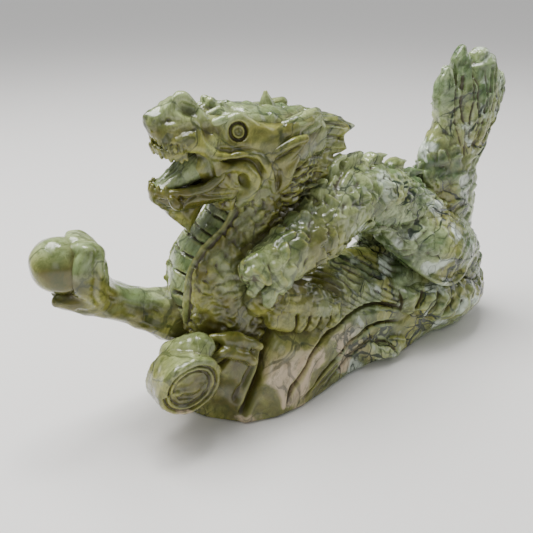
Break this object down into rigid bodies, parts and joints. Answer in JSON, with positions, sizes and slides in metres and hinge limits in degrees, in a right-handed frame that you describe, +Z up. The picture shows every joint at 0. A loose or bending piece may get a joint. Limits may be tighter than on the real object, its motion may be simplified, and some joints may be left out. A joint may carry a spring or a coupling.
{
  "type": "carved jade dragon figurine",
  "caption": "Free-standing carved green jade dragon, arched body on a wave base, head raised, one foreclaw holding a pearl.",
  "frame": {"origin": "centre of the object's box in plan, on the flat underside that it rests on", "axes": "+Z up, -X the way the head faces and the pearl is held out, -Y the left flank that the body arches over"},
  "size_m": [0.246, 0.076, 0.1485],
  "materials": {
    "jade": "polished, mottled olive to blue-green with dark veins",
    "jade_pale": "polished, paler green"
  },
  "bodies": {
    "root": {"base_curl": "jade", "beard": "jade", "belly_plates": "jade_pale", "body_arch": "jade", "body_front": "jade", "body_rear": "jade", "body_under": "jade", "brow_crest": "jade", "cheek_scrolls": "jade", "chest": "jade", "cloud_ridges": "jade", "crest_horn": "jade", "dorsal_fins": "jade", "eyes": "jade", "fingers": "jade", "left_ear": "jade", "left_fore_claws": "jade", "left_fore_paw": "jade", "left_hind_claws": "jade", "left_hind_foot": "jade", "left_horn": "jade", "left_lip_cord": "jade", "left_scroll": "jade", "left_scroll_knob": "jade", "left_thigh": "jade", "lower_jaw": "jade", "lower_tusks": "jade", "mane": "jade", "mane_locks": "jade", "neck": "jade", "nostrils": "jade", "pearl": "jade_pale", "right_ear": "jade", "right_forearm": "jade", "right_hand": "jade", "right_hind_claws": "jade", "right_hind_foot": "jade", "right_horn": "jade", "right_lip_cord": "jade", "right_scroll": "jade", "right_scroll_knob": "jade", "right_thigh": "jade", "shoulder_claws": "jade", "skull": "jade", "snout": "jade", "tail_flame": "jade", "tail_prongs": "jade", "tail_stem": "jade", "tongue": "jade_pale", "upper_teeth": "jade", "wave_base_front": "jade", "wave_base_middle": "jade", "wave_base_rear": "jade"}
  },
  "joints": []
}
